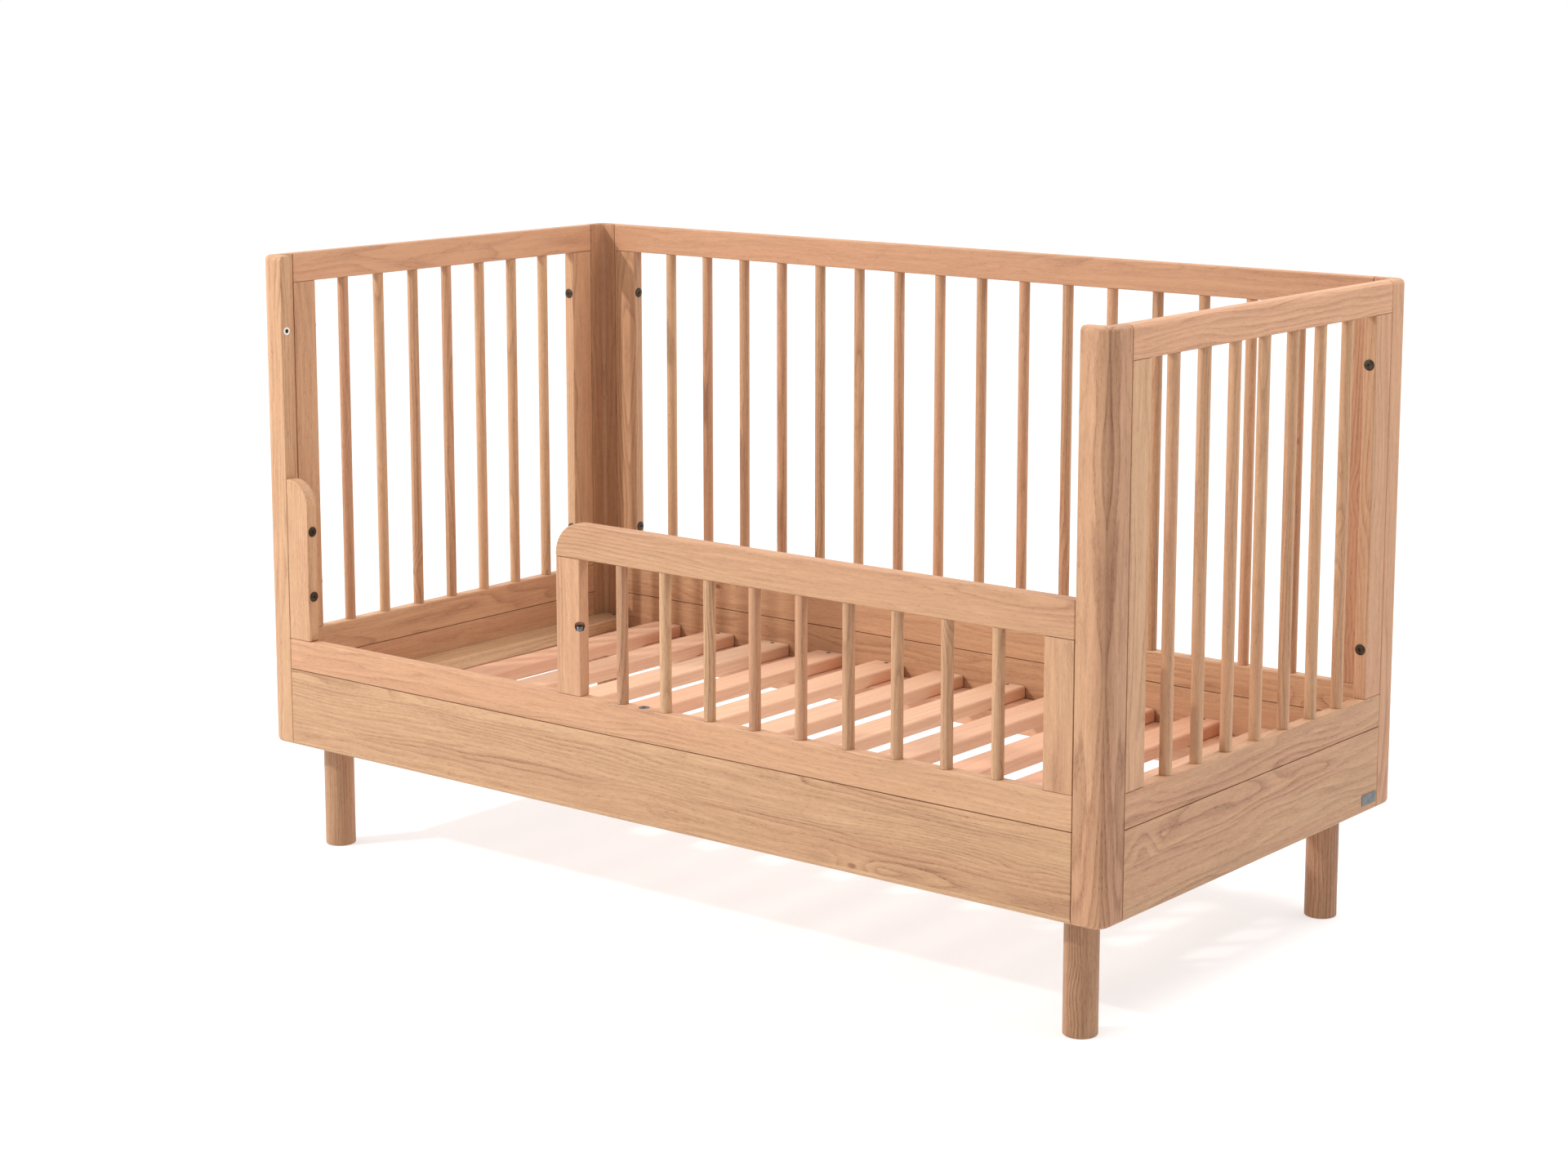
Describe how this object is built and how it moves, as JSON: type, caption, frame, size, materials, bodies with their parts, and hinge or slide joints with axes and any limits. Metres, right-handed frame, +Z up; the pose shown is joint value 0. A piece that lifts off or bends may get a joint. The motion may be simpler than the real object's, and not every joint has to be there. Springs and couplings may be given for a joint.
{
  "type": "cot bed",
  "caption": "Oak cot bed in its toddler form: barred ends and back, low front with a short guard rail, round feet and a slatted base that lifts.",
  "frame": {"origin": "on the floor, under the middle of the bed", "axes": "+X along the length, with the guard rail's end at +X; +Y to the back; +Z up"},
  "size_m": [1.4608, 0.74, 0.885],
  "materials": {
    "oak": "clear satin lacquer, pinkish light oak",
    "beech": "plain sanded, pale and pinkish",
    "dark_bronze": "dark bronze, half matt",
    "zinc_steel": "zinc plated",
    "plate_metal": "grey brushed, no lettering"
  },
  "bodies": {
    "frame": {"post_front_left": "oak", "leg_front_left": "oak", "leg_stud_front_left": "zinc_steel", "leg_block_front_left": "oak", "post_front_right": "oak", "leg_front_right": "oak", "leg_stud_front_right": "zinc_steel", "leg_block_front_right": "oak", "post_back_left": "oak", "leg_back_left": "oak", "leg_stud_back_left": "zinc_steel", "leg_block_back_left": "oak", "post_back_right": "oak", "leg_back_right": "oak", "leg_stud_back_right": "zinc_steel", "leg_block_back_right": "oak", "left_end_top_rail": "oak", "left_end_ledge_rail": "oak", "left_end_board": "oak", "left_end_bars": "oak", "left_end_stile_front": "oak", "left_end_stile_back": "oak", "right_end_top_rail": "oak", "right_end_ledge_rail": "oak", "right_end_board": "oak", "right_end_bars": "oak", "right_end_stile_front": "oak", "right_end_stile_back": "oak", "back_top_rail": "oak", "back_ledge_rail": "oak", "back_board": "oak", "back_bars": "oak", "back_stile_left": "oak", "back_stile_right": "oak", "front_board": "oak", "front_short_upright": "oak", "front_ledge_rail": "oak", "guard_top_rail": "oak", "guard_end_post": "oak", "guard_stile_right": "oak", "guard_bars": "oak", "front_upright_bolt_lower": "dark_bronze", "front_upright_bolt_upper": "dark_bronze", "guard_fixing_bolt": "zinc_steel", "maker_plate": "plate_metal"},
    "base": {"base_bearer_front": "beech", "base_bearer_back": "beech", "base_end_slat_left": "oak", "base_end_slat_right": "oak", "slat_01": "beech", "slat_02": "beech", "slat_03": "beech", "slat_04": "beech", "slat_05": "beech", "slat_06": "beech", "slat_07": "beech", "slat_08": "beech", "slat_09": "beech", "slat_10": "beech", "slat_11": "beech"}
  },
  "joints": [
    {"name": "base_height", "type": "slide", "parent": "frame", "child": "base", "axis": [0, 0, 1], "range_m": [0, 0.24]}
  ]
}
